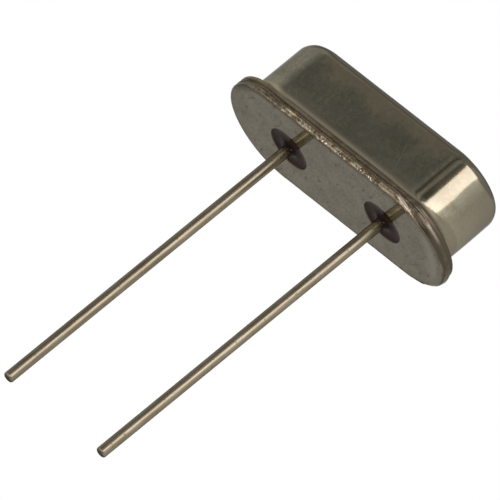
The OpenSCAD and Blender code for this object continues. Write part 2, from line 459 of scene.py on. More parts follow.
# The scale's colours. A pair goes from left to right, and the last is low and high.
EDGE_SCALE = (0.105, 0.092, 0.072), (0.030, 0.023, 0.015)
TIP_SCALE = (0.070, 0.058, 0.043)
LOW_SCALE = (0.082, 0.069, 0.051), (0.085, 0.070, 0.048)
# Pale low at the nose, a painted highlight on the rounding.
NOSE_SCALE_HIGHLIGHT = (0.300, 0.237, 0.160)
TAIL_SCALE = (0.200, 0.170, 0.122)
BACK_SCALE = (0.300, 0.255, 0.183), (0.140, 0.119, 0.086)


def welding_scale(spot):
    """Dark scale where the weld's flash reached the edge, paler low down and at the back, and
    painted pale low at the nose as a highlight.
    """
    x = along(spot, "X")
    # Low at the nose the scale is painted pale, a painted highlight.
    low = x.within(*NOSE).blend(x.step(-3.0, 3.0).blend(*LOW_SCALE), NOSE_SCALE_HIGHLIGHT)
    low = tail_of(spot).blend(low, TAIL_SCALE)
    high = x.step(4.9, 5.3).blend(x.step(4.2, 4.4).blend(*EDGE_SCALE), TIP_SCALE)
    behind = x.step(*RIGHT_END) * along(spot, "Y").step(0.45, 0.9)
    low = behind.blend(low, BACK_SCALE[0])
    high = behind.blend(high, BACK_SCALE[1])
    return along(spot, "Z").step(0.03, 0.09).blend(low, high)


def plated_header(tree):
    """Grey plating on the faces, and streaked copper or dark scale on the cut edge.

    The copper ends at the right corner in a slanted wedge.
    """
    spot = place(tree)
    x, reach = along(spot, "X"), reach_of(spot)
    streaks = cloud(place(tree, (1, 1, 0.7)), 0.15, detail=3, rough=0.5, warp=1.0)
    clump = cloud(spot, 0.55, detail=2).step(0.40, 0.60)
    tarnish = cloud(spot, 0.9)
    fold = on_fold(spot, LOWER_FOLD)
    bare = x.within(*bare_span(BARE_FADE))
    edge = (reach + streaks * 0.02 + bare * 0.03).step(FLANGE_REACH - 0.03, FLANGE_REACH - 0.008)
    wedge = (x + along(spot, "Z") * 2.4 + (streaks - 0.5) * 0.3).step(4.36, 4.52)
    copper = bare_copper(spot, streaks, clump, fold)
    copper = (bare * (1 - wedge)).blend(welding_scale(spot), copper)
    leaning = relief(x, LEAN, relief(cloud(spot, 0.5), 0.0005))
    scored = streaks * edge * bare * (1 - fold * 0.9) * (0.55 + clump * 0.6)
    return {
        "Base Color": edge.blend(rolled_plating(spot, tarnish, bare), copper),
        "Metallic": 1.0,
        "Roughness": 0.105 + edge * 0.13 + tarnish * 0.05,
        "Specular Tint": (0.72, 0.70, 0.66),
        "Normal": relief(scored, 0.022, leaning),
    }


platform_edge = PLATFORM_REACH - PLATFORM_ROUND
platform_shoulder = PLATFORM_TOP - PLATFORM_ROUND
rim_profile = np.concatenate([
    arc((FLANGE_REACH - RIM_ROUND, RIM_ROUND), RIM_ROUND, -90, 0, 9),
    run_of((FLANGE_REACH, RIM_ROUND), (FLANGE_REACH, RIM_HEIGHT - RIM_BREAK), 9)[1:],
    arc((FLANGE_REACH - RIM_BREAK, RIM_HEIGHT - RIM_BREAK), RIM_BREAK, 0, 90, 4)[1:],
    run_of((FLANGE_REACH - RIM_BREAK, RIM_HEIGHT), (PLATFORM_REACH, RIM_HEIGHT), 8)[1:],
    run_of((PLATFORM_REACH, RIM_HEIGHT), (PLATFORM_REACH, platform_shoulder), 6)[1:],
    arc((platform_edge, platform_shoulder), PLATFORM_ROUND, 0, 90, 7)[1:],
])
rim_level = rim_profile[:, 1:]
on_rim = rim_profile[:, :1] > FLANGE_REACH - EDGE_BAND
foot, out_x, out_y = oblong_plan()
station = foot + FLANGE_REACH * out_x

# The scores are a fine and a coarse grain, cut inwards only, on the bare part of the edge.
grains = (len(rim_profile), foot.size)
scoring = grain(5, grains, (6, 4)) * SCORE_DEPTHS[0] + grain(6, grains, (11, 12)) * SCORE_DEPTHS[1]
on_edge = np.exp(-(((rim_level - SCORE_MIDDLE) / SCORE_HALF) ** 4)) * on_rim
bare = eased_within(station, *bare_span(SCORE_FADE))
swell = fold_lift(station, rim_level, LOWER_FOLD) * on_rim
scoring = np.minimum(scoring - SCORE_FLOOR, 0.0) * on_edge * bare * (1 - swell) + FOLD_SWELL * swell
behind = eased_within(np.degrees(np.arctan2(out_x, -out_y)), *BACK_RANGE)
upright = eased_within(rim_level, 0.02, 0.14, RIM_HEIGHT - 0.04, RIM_HEIGHT - 0.01)
scoring = scoring + BACK_FLASH * behind * upright * on_rim
under = holed_face(FLANGE_REACH - RIM_ROUND, 0.0, 8, 1)
over = holed_face(platform_edge, PLATFORM_TOP, 4, -1)
hole_walls = [(np.stack([low[0][0], high[0][0]]), False) for low, high in zip(under, over)]
sheets = [(swept(rim_profile, scoring), True), *under, *over, *hole_walls]
header = solid_piece("header_plate", sheets, "base_steel", "base_header")
dress(header, finish_of("plated_header", plated_header))


# A bead of dark sealing glass fills each hole and holds the lead apart from the steel. It
# was melted in place, so its faces are dished and it creeps a little way down the wire.
SEALED_RADIUS = 0.20
WIRE_RADIUS = 0.215
GLASS_RECESS = 0.02
GLASS_DISH = 0.04
CREEP = 0.11
CREEP_FADE = 0.055
DEEP_GLASS = (0.019, 0.0110, 0.0072), (0.033, 0.0190, 0.0120)
# Painted shade near the wire.
GLASS_ROOT_SHADE = (0.006, 0.004, 0.003)
LIP_GLINT = (0.20, 0.185, 0.165)
GLASS_FLECK = (0.060, 0.042, 0.037)
SIDES = ((-1, "left"), (1, "right"))


def turned(profile, side, steps):
    """Turns a profile of (radius, height) rows about one lead."""
    angle = np.linspace(0, 2 * np.pi, steps, endpoint=False)
    radius, height = profile[:, :1], profile[:, 1:]
    across = side * LEAD_X + radius * np.cos(angle)
    return np.stack([across, radius * np.sin(angle), height + 0 * angle], -1)


def bead_face(level, outward):
    """Face from the wire to the hole, a shallow parabola with a thin foot on the wire.

    outward is the sign of the direction in which the creep on the wire goes.
    """
    share = np.linspace(0, 1, 41) ** 1.5
    radius = WIRE_RADIUS + (SEAL_RADIUS - WIRE_RADIUS) * share
    dish = 4 * GLASS_DISH * share * (1 - share)
    creep = (CREEP + GLASS_RECESS) * np.exp(-(radius - WIRE_RADIUS) / CREEP_FADE)
    return np.stack([radius, level + outward * (creep - dish)], 1)


def sealing_glass(tree):
    """Deep brown glass with painted shade, darkest at the wire, and haze, specks and glints on its
    lip.
    """
    spot = place(tree)
    from_wire = hole_distance(spot) - WIRE_RADIUS
    haze = cloud(spot, 0.45, detail=3)
    deep = haze.step(0.3, 0.75).blend(*DEEP_GLASS)
    # Painted shade near the wire: the dark lead's reflection in the glass.
    deep = (from_wire.fall(0.04, 0.22) * 0.8).blend(deep, GLASS_ROOT_SHADE)
    glint = from_wire.fall(0.025, 0.055) * cloud(spot, 0.10, detail=1).step(0.60, 0.70)
    deep = glint.blend(deep, LIP_GLINT)
    return {
        "Base Color": cloud(spot, 0.05, detail=1).step(0.68, 0.8).blend(deep, GLASS_FLECK),
        "Roughness": 0.10 + haze * 0.08,
        "IOR": 1.12,
        "Normal": relief(cloud(spot, 0.3), 0.003),
    }


glass_finish = finish_of("sealing_glass", sealing_glass)
for side, word in SIDES:
    lower = bead_face(GLASS_RECESS, -1)
    upper = bead_face(PLATFORM_TOP - GLASS_RECESS, 1)[::-1]
    wall = np.array([(SEALED_RADIUS, lower[0, 1]), (SEALED_RADIUS, upper[-1, 1])])
    section = np.concatenate([lower, upper, wall[::-1], lower[:1]])
    sheets = [(turned(section, side, 96), True)]
    glass = solid_piece(f"glass_bead_{word}", sheets, "seal_glass", f"glass_seal_{word}")
    dress(glass, glass_finish)


# Each lead is drawn iron-nickel wire with a bronze-grey plating. Its lower end is cut and
# tumbled round, and inside the can it is upset into a flat head that the clip is welded to.
LEAD_LENGTH = 13.5
TIP_ROUND = 0.085
HEAD_RADIUS = 0.40
HEAD_LOW = 1.08
HEAD_TOP = 1.20
ON_AXIS = 1e-6
WIRE_METAL = (0.152, 0.128, 0.084), (0.258, 0.233, 0.173)
WIRE_BROWN = (0.205, 0.154, 0.092)
WIRE_ROOT = (0.115, 0.096, 0.064)
ROOT_GLINT = (0.330, 0.285, 0.190)
WIRE_DENT = (0.12, 0.095, 0.06)


def drawn_wire(tree):
    """Bronze-grey metal with draw lines along it, and brown, dull and dented patches.

    Its root at the glass is darker and more dented, with a few glints.
    """
    spot = place(tree)
    lines = cloud(place(tree, (1, 1, 0.02)), 0.030, detail=2)
    stain = cloud(place(tree, (1, 1, 0.3)), 0.3, detail=3)
    root = along(spot, "Z").step(-0.75, -0.20)
    dent = cloud(place(tree, (1, 1, 0.45)), 0.075, detail=2)
    dent = dent.step(0.64 - root * 0.14, 0.76 - root * 0.12)
    bright = (lines * 0.5 + stain * 0.5).step(0.25, 0.75).blend(*WIRE_METAL)
    brown = cloud(place(tree, (1, 1, 0.12)), 0.08, detail=2).step(0.50, 0.64)
    bright = (brown * 0.5).blend(bright, WIRE_BROWN)
    bright = (root * 0.62).blend(bright, WIRE_ROOT)
    glint = cloud(place(tree, (1, 1, 0.35)), 0.06, detail=1).step(0.56, 0.66)
    bright = (glint * root * 0.7).blend(bright, ROOT_GLINT)
    return {
        "Base Color": dent.blend(bright, WIRE_DENT),
        "Metallic": 1.0,
        "Roughness": 0.25 + stain * 0.10,
        "Specular Tint": (0.40, 0.39, 0.37),
        "Normal": relief(lines + stain * 0.4 + dent * 0.5, 0.0044),
    }


wire_finish = finish_of("drawn_wire", drawn_wire)
for side, word in SIDES:
    section = np.concatenate([
        [(ON_AXIS, -LEAD_LENGTH), (WIRE_RADIUS * 0.5, -LEAD_LENGTH)],
        arc((WIRE_RADIUS - TIP_ROUND, TIP_ROUND - LEAD_LENGTH), TIP_ROUND, -90, 0, 9),
        run_of((WIRE_RADIUS, TIP_ROUND - LEAD_LENGTH), (WIRE_RADIUS, 0.0), 120)[1:],
        run_of((SEALED_RADIUS, 0.0), (SEALED_RADIUS, HEAD_LOW), 4),
        run_of((HEAD_RADIUS, HEAD_LOW), (HEAD_RADIUS, HEAD_TOP), 2),
        [(HEAD_RADIUS * 0.5, HEAD_TOP), (ON_AXIS, HEAD_TOP)],
    ])
    sheets = [(turned(section, side, 64), True)]
    wire = solid_piece(f"wire_lead_{word}", sheets, "lead_wire", f"lead_{word}")
    dress(wire, wire_finish)


# The works inside keep their own solids: two spring clips, the crystal between them with a
# silver film on each face, and the silver epoxy that bonds and connects it.
def spring_metal(tree):
    """Rolled nickel strip, its grain running along the part."""
    lines = cloud(place(tree, (0.1, 1, 1)), 0.05, detail=3)
    return {
        "Base Color": lines.blend((0.40, 0.38, 0.33), (0.52, 0.50, 0.45)),
        "Metallic": 1.0,
        "Roughness": 0.25 + lines * 0.15,
        "Normal": relief(lines, 0.002),
    }


def lapped_crystal(tree):
    """Clear quartz with the faint frost that lapping leaves."""
    frost = cloud(place(tree), 0.04, detail=3)
    return {
        "Base Color": frost.blend((0.80, 0.86, 0.88), (0.90, 0.94, 0.95)),
        "Roughness": 0.12 + frost * 0.15,
        "Alpha": 0.45 + frost * 0.1,
    }


def silver_film(tree):
    """Evaporated silver, even and bright, with a slight haze."""
    haze = cloud(place(tree), 0.2, detail=3)
    return {
        "Base Color": haze.blend((0.70, 0.69, 0.65), (0.80, 0.79, 0.76)),
        "Metallic": 1.0,
        "Roughness": 0.12 + haze * 0.1,
    }


def silver_epoxy(tree):
    """Cured epoxy full of silver flakes, dull and grainy."""
    flake = cloud(place(tree), 0.03, detail=3)
    return {
        "Base Color": flake.blend((0.24, 0.23, 0.21), (0.46, 0.45, 0.42)),
        "Metallic": 0.5,
        "Roughness": 0.5 + flake * 0.2,
        "Normal": relief(flake, 0.01),
    }


INNER_FINISHES = (
    (spring_metal, ("support_clip_left", "support_clip_right")),
    (lapped_crystal, ("quartz_blank",)),
    (silver_film, ("electrode_lower", "electrode_upper")),
    (silver_epoxy, ("adhesive_left", "adhesive_right")),
)
for paint, names in INNER_FINISHES:
    inner_finish = finish_of(paint.__name__, paint)
    for name in names:
        dress(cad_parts[name], inner_finish)


# The weld is a run of fused metal between the header's rim and the can's foot. It is thin
# along the sides, and round both ends it was squeezed out into a broad smooth flash. The
# flash begins FLASH_START degrees round each end and is whole at FLASH_FULL.
SEAM_INNER = 2.05
SEAM_REACH = 2.316
SEAM_MIDDLE = 0.29
SEAM_HALF = 0.07
SEAM_BULGE = 0.09
FLASH_REACH = 2.333
FLASH_MIDDLE = 0.235
FLASH_HALF = 0.185
FLASH_START = 22.0
FLASH_FULL = 46.0

# The flash's crest is a fold given as the header's is. WANDER is how far the bead strays, in
# long waves and in short ones.
UPPER_FOLD = (4.74, 5.40, 0.31, 0.292, 0.070)
CREST_SWELL = 0.016
WANDER = (0.010, 0.005)
SEAM_SCALE = (0.095, 0.074, 0.046), (0.160, 0.126, 0.084)
SEAM_CORNER = (0.060, 0.047, 0.032)
FLASH_METAL = (0.078, 0.064, 0.046), (0.112, 0.097, 0.070)
FLASH_FRONT = (0.062, 0.052, 0.040)
FLASH_UNDER = (0.034, 0.026, 0.017), (0.067, 0.055, 0.040)
FLASH_BACK = (0.165, 0.140, 0.103)
CREST_METAL = (0.218, 0.186, 0.141)


def fused_metal(tree):
    """Copper-brown metal: dark scale in the seam, and a greyer, smoother flash."""
    spot = place(tree)
    x, height = along(spot, "X"), along(spot, "Z")
    scale = cloud(spot, 0.06, detail=4, warp=0.5)
    flash = x.math("ABSOLUTE", x).step(3.9, 4.4)
    seam = x.step(3.8, 4.1).blend(scale.step(0.3, 0.7).blend(*SEAM_SCALE), SEAM_CORNER)
    smooth = cloud(spot, 0.35, detail=3).step(0.3, 0.7).blend(*FLASH_METAL)
    smooth = x.fall(4.7, 4.95).blend(smooth, FLASH_FRONT)
    back = x.step(*RIGHT_END) * along(spot, "Y").step(0.1, 0.7)
    under = back.blend(x.step(4.95, 5.3).blend(*FLASH_UNDER), FLASH_BACK)
    smooth = height.fall(0.12, 0.26).blend(smooth, under)
    smooth = on_fold(spot, UPPER_FOLD).blend(smooth, CREST_METAL)
    return {
        "Base Color": flash.blend(seam, smooth),
        "Metallic": 1.0,
        "Roughness": 0.30 + scale * 0.15 - flash * 0.08,
        "Specular Tint": (0.62, 0.60, 0.56),
        "Normal": relief(scale, 0.006),
    }


# The bead's section is a bow from its lower to its upper edge, closed towards the inside.
flash = eased(np.degrees(np.arccos(np.clip(np.abs(out_y), 0, 1))), FLASH_START, FLASH_FULL)
wander = grain(11, (1, foot.size), (1, 14))[0] * WANDER[0]
wander = wander + grain(12, (1, foot.size), (1, 4))[0] * WANDER[1]
bead_reach = SEAM_REACH + (FLASH_REACH - SEAM_REACH) * flash + wander * (1 - 0.7 * flash)
bead_reach = bead_reach + BACK_FLASH * behind
bead_middle = SEAM_MIDDLE + (FLASH_MIDDLE - SEAM_MIDDLE) * flash + wander * 0.6
bead_half = SEAM_HALF + (FLASH_HALF - SEAM_HALF) * flash
bow = np.radians(np.linspace(-90, 90, 17))[:, None]
level = bead_middle + bead_half * np.sin(bow)
reach = bead_reach - SEAM_BULGE + SEAM_BULGE * np.abs(np.cos(bow)) ** 0.7
reach = reach + CREST_SWELL * fold_lift(station, level, UPPER_FOLD)
inward = SEAM_INNER + (reach[-1] - SEAM_INNER) * np.linspace(1, 0, 4)[1:, None]
reach = np.concatenate([reach, inward, SEAM_INNER + 0 * reach[:1], reach[:1]])
level = np.concatenate([level, level[-1] + 0 * inward, level[:1], level[:1]])
bead = np.stack([foot + reach * out_x, reach * out_y, level], -1)
weld = solid_piece("weld_bead", [(bead, True)], "weld_copper", "weld_seam")
dress(weld, finish_of("fused_metal", fused_metal))


# The can is a cup drawn from nickel silver sheet. Its foot flares out into the flange that
# was rolled over and welded, and its top is left plain. The draw leaves it slightly wavy,
# and round its ends the flare is taller and the flange stands a little higher.
CAN_REACH = 1.85
CAVITY_REACH = 1.65
CAN_TOP = 3.40
WALL = 0.20
TOP_ROUND = 0.55
FOOT_WIDTH = 0.42
FOOT_RISE = 0.46
END_FOOT_RISE = 0.56
FOOT_INNER_ROUND = 0.40
FLANGE_LOW = 0.30
FLANGE_TOP = 0.50
RIM_ROLL = 0.12
EDGE_ROUND = 0.04
RIDGE_PITCH = 0.08

# How far the flange is lifted round the ends, how far the right end leans in at its top, and
# how deep the broad and the fine waves of the draw are.
END_LIFT = 0.045
END_LEAN = 0.035
WAVES = (0.0055, 0.0009)

# Hair scratches: from and to in x and height, and the width.
HAIRS = (
    ((-3.30, 1.20), (-2.80, 0.50), 0.012),
    ((-3.02, 1.28), (-2.62, 0.84), 0.009),
    ((-2.05, 1.62), (-1.98, 1.30), 0.010),
    ((1.70, 2.30), (2.30, 1.05), 0.007),
)


def hairline(spot, start, end, width):
    """1 on a straight hair scratch on the broad sides and 0 off it.

    The place is split along the scratch's own direction in x and z: the part across it
    must be within the width, and the part along it between its two ends.
    """
    length = float(np.hypot(end[0] - start[0], end[1] - start[1]))
    way_x, way_z = (end[0] - start[0]) / length, (end[1] - start[1]) / length
    from_x, from_z = along(spot, "X") - start[0], along(spot, "Z") - start[1]
    off = from_x.math("ABSOLUTE", from_x * way_z - from_z * way_x)
    run = from_x * way_x + from_z * way_z
    return off.fall(width * 0.4, width) * run.within(0.0, length * 0.2, length * 0.8, length)


# The sheet's colours on the walls and the top. A pair is dull and bright.
SHEET = (0.171, 0.158, 0.114), (0.259, 0.235, 0.167)
GREEN_TINT = (0.193, 0.190, 0.149)
PALE_FOOT = (0.290, 0.264, 0.196)
BROWN_TOP = (0.260, 0.235, 0.164), (0.318, 0.277, 0.182)
# Painted reflections of a dark and a pale line on the right corner.
DARK_LINE_REFLECTION = (0.140, 0.118, 0.068)
PALE_LINE_REFLECTION = (0.310, 0.245, 0.145)
CROWN = (0.108, 0.097, 0.066), (0.260, 0.228, 0.166)
CROWN_TOP = (0.24, 0.22, 0.17)
SMUDGE = (0.150, 0.118, 0.070)
SCRATCH = (0.42, 0.39, 0.32)
WARM_END = (0.258, 0.218, 0.152)
DULL_END = (0.150, 0.136, 0.100)
# The flare's painted reflection.
FLARE_REFLECTION = (0.350, 0.302, 0.212)


def drawn_sheet(spot, cast, mottle):
    """The cup's wall: mottled, with a green tint, paler low down and browner at the top."""
    x, height = along(spot, "X"), along(spot, "Z")
    side = x.math("ABSOLUTE", x)
    tone = (cast * 0.4 + mottle * 0.6).step(0.35, 0.65)
    tone = (tone - 0.5) * (1 - x.within(3.7, 4.0, 4.55, 4.75) * 0.6) + 0.5
    tint = cloud(spot, 0.30, detail=4).step(0.45, 0.60)
    sheet = (tint * 0.65).blend(tone.blend(*SHEET), GREEN_TINT)
    paler = (height + (cast - 0.5) * 0.5).fall(1.05, 1.45) * side.step(1.0, 2.6)
    sheet = (paler * 0.5).blend(sheet, PALE_FOOT)
    brown = (height + (cast - 0.5) * 1.6 + (tint - 0.5) * 0.25).step(2.15, 2.75)
    return (brown * side.fall(2.9, 3.7)).blend(sheet, tone.blend(*BROWN_TOP))


def worked_sheet(spot, sheet, fleck, wall):
    """What drawing left on the sheet: a crown where the top rounds over, a smudge and a duller tone
    on the right end, and scratches. Two lines at the right corner and a brighter flare are painted
    reflections.
    """
    x, height = along(spot, "X"), along(spot, "Z")
    # Painted reflections: a dark upright line and a pale one on the wall at the right corner.
    sheet = (wall * x.within(3.44, 3.52, 3.61, 3.69) * 0.7).blend(sheet, DARK_LINE_REFLECTION)
    sheet = (wall * x.within(3.80, 3.86, 3.96, 4.01) * 0.6).blend(sheet, PALE_LINE_REFLECTION)
    broad = x.math("ABSOLUTE", x).fall(2.9, 3.7)
    crown = (height + broad * 0.12).step(3.08, 3.26) * reach_of(spot).step(1.15, 1.45)
    tone = x.step(3.5, 4.2).blend(*CROWN)
    tone = (height + broad * 0.09).step(3.18, 3.28).blend(tone, CROWN_TOP)
    sheet = (crown * 0.9).blend(sheet, tone)
    smudge = cloud(spot, 0.40, detail=3).step(0.42, 0.66)
    smudge = smudge * x.within(4.3, 4.55, 4.65, 4.95) * height.within(0.9, 1.2, 2.0, 2.7)
    sheet = (smudge * 0.7).blend(sheet, SMUDGE)
    marks = fleck * 0.6
    for hair in HAIRS:
        marks = marks.math("MAXIMUM", marks, hairline(spot, *hair) * 0.75)
    sheet = marks.blend(sheet, SCRATCH)
    sheet = (x.step(4.55, 5.05) * 0.5).blend(sheet, WARM_END)
    sheet = (x.step(4.3, 4.7) * height.step(1.3, 2.9) * 0.55).blend(sheet, DULL_END)
    # Painted reflection: the flare is painted brighter, on the broad sides and the left end.
    flare = height.within(0.50, 0.54, 0.80, 1.0) * x.fall(3.7, 4.15)
    return flare.blend(sheet, FLARE_REFLECTION)


# The colours that the weld's heat left above the weld and on the flange, some of them painted shade:
# the streak before the right corner, part of the dark low in the groove, and the corner's shade.
SINGED = (0.120, 0.102, 0.071)
# Painted shade deepening the dark reflected band.
DARK_BAND_SHADE = (0.085, 0.076, 0.052)
# Heat scale, and partly painted shade in the groove.
HEAT_SCALE_AND_GROOVE_SHADE = (0.066, 0.052, 0.035), (0.092, 0.076, 0.048)
LEFT_HEAT_SCALE_AND_GROOVE_SHADE = (0.074, 0.061, 0.041)
FLANGE_FACE = (0.165, 0.134, 0.088), (0.220, 0.184, 0.118)
PALE_FLANGE = (0.290, 0.242, 0.166)
HEATED_END = (0.085, 0.070, 0.048)
CORNER_SHADE = (0.036, 0.029, 0.020)
DRAG_MARK = (0.30, 0.262, 0.180)


def singed_band(spot, cast, mottle):
    """1 on the dull band above the weld at the right end, rising to the tip."""
    x = along(spot, "X")
    level = along(spot, "Z") - x.math("MAXIMUM", x - 4.15, 0.0) * 0.38
    above = (level + (cast + mottle - 1.0) * 0.12).step(0.82, 0.92)
    return x.step(3.85, 4.1) * (1 - x.step(4.6, 4.9) * 0.6) * (1 - above)


def shaded_corner_band(spot, cast, mottle):
    """1 on a streak of painted shade that deepens the dark reflected band and fades upwards just
    before the right corner.
    """
    x, height = along(spot, "X"), along(spot, "Z")
    streak = (x + (mottle - 0.5) * 0.12).step(3.70, 3.78) * x.fall(3.95, 4.02)
    return streak * height.step(0.96, 1.06) * (height + (cast - 0.5) * 0.6).fall(1.15, 1.75)


def heated_flange(spot):
    """Brown scale on the flange: patchy, paler on its face, darker low in the groove where it is
    partly painted shade, and painted shade near the corner.
    """
    x = along(spot, "X")
    patch = cloud(spot, 0.28, detail=3, warp=0.3).step(0.35, 0.65)
    # Low down, in the groove above the weld, the dark is heat scale and partly painted shade.
    low = x.step(-2.9, -0.6).blend(LEFT_HEAT_SCALE_AND_GROOVE_SHADE, patch.blend(*HEAT_SCALE_AND_GROOVE_SHADE))
    face = x.within(-3.5, -2.9, -1.8, -0.4).blend(patch.blend(*FLANGE_FACE), PALE_FLANGE)
    heated = along(spot, "Z").step(0.37, 0.44).blend(low, face)
    heated = x.step(3.85, 4.15).blend(heated, HEATED_END)
    return (x.within(3.55, 3.80, 4.20, 4.40) * 0.55).blend(heated, CORNER_SHADE)


def drawn_nickel(tree):
    """Drawn sheet with its marks and its painted reflections and shade, the scale of the weld's heat
    on the flange (partly painted shade in its groove), drag marks on the right end's flange, fine
    ridges round the flange, and a slightly dished top.
    """
    spot = place(tree)
    x, height, reach = along(spot, "X"), along(spot, "Z"), reach_of(spot)
    cast = cloud(spot, 1.3, detail=3)
    mottle = cloud(spot, 0.12, detail=5, rough=0.6)
    fleck = cloud(spot, 0.06, detail=1).step(0.66, 0.76) * cloud(spot, 0.9).step(0.50, 0.62)
    wall = along(spot, "Y").fall(-0.9, -0.3) * height.fall(3.0, 3.2)
    sheet = worked_sheet(spot, drawn_sheet(spot, cast, mottle), fleck, wall)
    singed = singed_band(spot, cast, mottle)
    sheet = (singed * 0.85).blend(sheet, SINGED)
    # Painted shade: the dark band reflected on the wall is painted darker near the foot.
    sheet = (shaded_corner_band(spot, cast, mottle) * wall * 0.65).blend(sheet, DARK_BAND_SHADE)
    brim = height - x.math("ABSOLUTE", x).step(3.4, 4.2) * END_LIFT
    flange = reach.step(2.06, 2.20) * brim.fall(0.50, 0.56)
    drag = cloud(place(tree, (0.07, 0.07, 1)), 0.05, detail=2).step(0.54, 0.68)
    drag = drag * x.within(4.05, 4.35, 4.95, 5.15) * height.within(0.33, 0.38, 0.66, 0.82)
    wave = height.math("SINE", height * (2 * np.pi / RIDGE_PITCH))
    ridged = height.within(0.39, 0.43, 0.58, 0.66) * reach.step(1.98, 2.06)
    dished = relief(cloud(spot, 1.1, detail=1) * height.step(3.3, 3.39), 0.012, relief(cast, 0.003))
    smooth = relief(mottle + fleck * 0.3, 0.0007, dished)
    return {
        "Base Color": (drag * 0.7).blend(flange.blend(sheet, heated_flange(spot)), DRAG_MARK),
        "Metallic": 1.0,
        "Roughness": 0.10 + mottle * 0.05 + flange * 0.16 + singed * 0.34,
        "Specular Tint": (0.58, 0.58, 0.58),
        "Normal": relief(wave * 0.5 * ridged, 0.0048, smooth),
    }


flare_reach = CAN_REACH + FOOT_WIDTH
inner_flare_reach = CAVITY_REACH + FOOT_INNER_ROUND
edge_reach = FLANGE_REACH - EDGE_ROUND
roll_reach = FLANGE_REACH - RIM_ROLL
shoulder = CAN_TOP - TOP_ROUND
crown_reach = CAN_REACH - TOP_ROUND
flare = np.radians(np.linspace(180, 270, 33))[1:]
flare_out = flare_reach + FOOT_WIDTH * np.cos(flare)
flare_up = FLANGE_TOP + FOOT_RISE * (1 + np.sin(flare))
can_profile = np.concatenate([
    run_of((0.0, CAN_TOP), (crown_reach, CAN_TOP), 10),
    arc((crown_reach, shoulder), TOP_ROUND, 90, 0, 25)[1:],
    run_of((CAN_REACH, shoulder), (CAN_REACH, FLANGE_TOP + FOOT_RISE), 40)[1:],
    np.stack([flare_out, flare_up], 1),
    run_of((flare_reach, FLANGE_TOP), (edge_reach, FLANGE_TOP), 3)[1:],
    arc((edge_reach, FLANGE_TOP - EDGE_ROUND), EDGE_ROUND, 90, 0, 6)[1:],
    run_of((FLANGE_REACH, FLANGE_TOP - EDGE_ROUND), (FLANGE_REACH, FLANGE_LOW + RIM_ROLL), 4)[1:],
    arc((roll_reach, FLANGE_LOW + RIM_ROLL), RIM_ROLL, 0, -90, 10)[1:],
    run_of((roll_reach, FLANGE_LOW), (inner_flare_reach, FLANGE_LOW), 4)[1:],
    arc((inner_flare_reach, FLANGE_LOW + FOOT_INNER_ROUND), FOOT_INNER_ROUND, 270, 180, 14)[1:],
    run_of((CAVITY_REACH, FLANGE_LOW + FOOT_INNER_ROUND), (CAVITY_REACH, shoulder), 8)[1:],
    arc((crown_reach, shoulder), TOP_ROUND - WALL, 0, 90, 10)[1:],
    run_of((crown_reach, CAN_TOP - WALL), (0.0, CAN_TOP - WALL), 6)[1:],
])
can_reach, can_level = can_profile[:, :1], can_profile[:, 1:]
outside = can_reach > (CAN_REACH + CAVITY_REACH) / 2


def flare_reach_at(level, rise):
    """The flare's reach at each height: a quarter of an ellipse FOOT_WIDTH by rise."""
    share = np.clip(1 - (level - FLANGE_TOP) / rise, 0, 1)
    return CAN_REACH + FOOT_WIDTH * (1 - np.sqrt(1 - share**2))


# The lean grows from the axis outwards, so that the top's middle line stays closed. Every
# second station is enough for the can.
plan_grain = (len(can_profile), foot.size)
waves = grain(21, plan_grain, (14, 34)) * WAVES[0] + grain(22, plan_grain, (7, 12)) * WAVES[1]
waves = waves * eased_within(can_level, 0.75, 1.3, 2.9, 3.3) * outside
taller = flare_reach_at(can_level, END_FOOT_RISE) - flare_reach_at(can_level, FOOT_RISE)
taller = taller * outside * (can_level > FLANGE_TOP + 0.001) * eased(np.abs(station), 2.4, 3.4)
shell = swept(can_profile, waves + taller)
on_brim = eased_within(can_level, 0.44, 0.48, 0.52, 0.95) * outside
shell[..., 2] += END_LIFT * on_brim * eased(np.abs(station), 3.4, 4.2)
lean = END_LEAN * eased(can_level, 1.0, 2.9) * can_reach / CAN_REACH
shell[..., 0] -= lean * eased(station, 3.2, 3.9)
can = solid_piece("can_shell", [(shell[:, ::2], True)], "can_nickel", "can_cover")
dress(can, finish_of("drawn_nickel", drawn_nickel))


# The studio's surround is one dim shell that only the metal's reflections show. Its level
# goes by the bearing: a low band, a high band that starts lower on the left, and the ground,
# brighter in front on the left and far on the right, with one shine in front of the part.
SCREEN_DISTANCE = 260.0
LOW_LEVELS = (
    (-180, 0.78), (-68, 0.80), (-56, 0.58), (-43, 0.32), (-28, 0.30), (-17, 0.42), (-11.7, 0.38),
    (-10.2, 0.14), (-7.7, 0.14), (-5.7, 0.55), (3, 0.54), (5.8, 0.20), (14, 0.24), (18.5, 0.30),
    (20, 0.9), (53, 1.68), (64, 1.60), (94, 1.03), (172, 0.98), (180, 0.88),
)
HIGH_LEVELS = (
    (-180, 0.46), (-105, 0.46), (-88, 0.60), (-70, 0.44), (10, 0.43), (26, 0.75), (60, 0.68),
    (180, 0.62),
)
HIGH_START = 45.0
HIGH_DROP = 20.0
HIGH_FADE = 8.0
GROUND_LEVEL = 0.39
NEAR_LEVEL = 0.85
FRONT_LEVEL = 1.35
FAR_LEVEL = 1.0
SHINE_LEVEL = 4.2


def lit(name):
    """An even glow whose strength is the mesh's own attribute named level."""
    material = bpy.data.materials.new(name)
    material.use_nodes = True
    material.cycles.emission_sampling = "NONE"
    tree = material.node_tree
    tree.nodes.clear()
    level = Wire(tree).node("Attribute", {"attribute_name": "level"}, {}, out="Fac")
    glow = level.node("Emission", {}, {"Color": (1, 1, 1), "Strength": level})
    end = tree.nodes.new("ShaderNodeOutputMaterial")
    tree.links.new(glow.socket, end.inputs["Surface"])
    return material


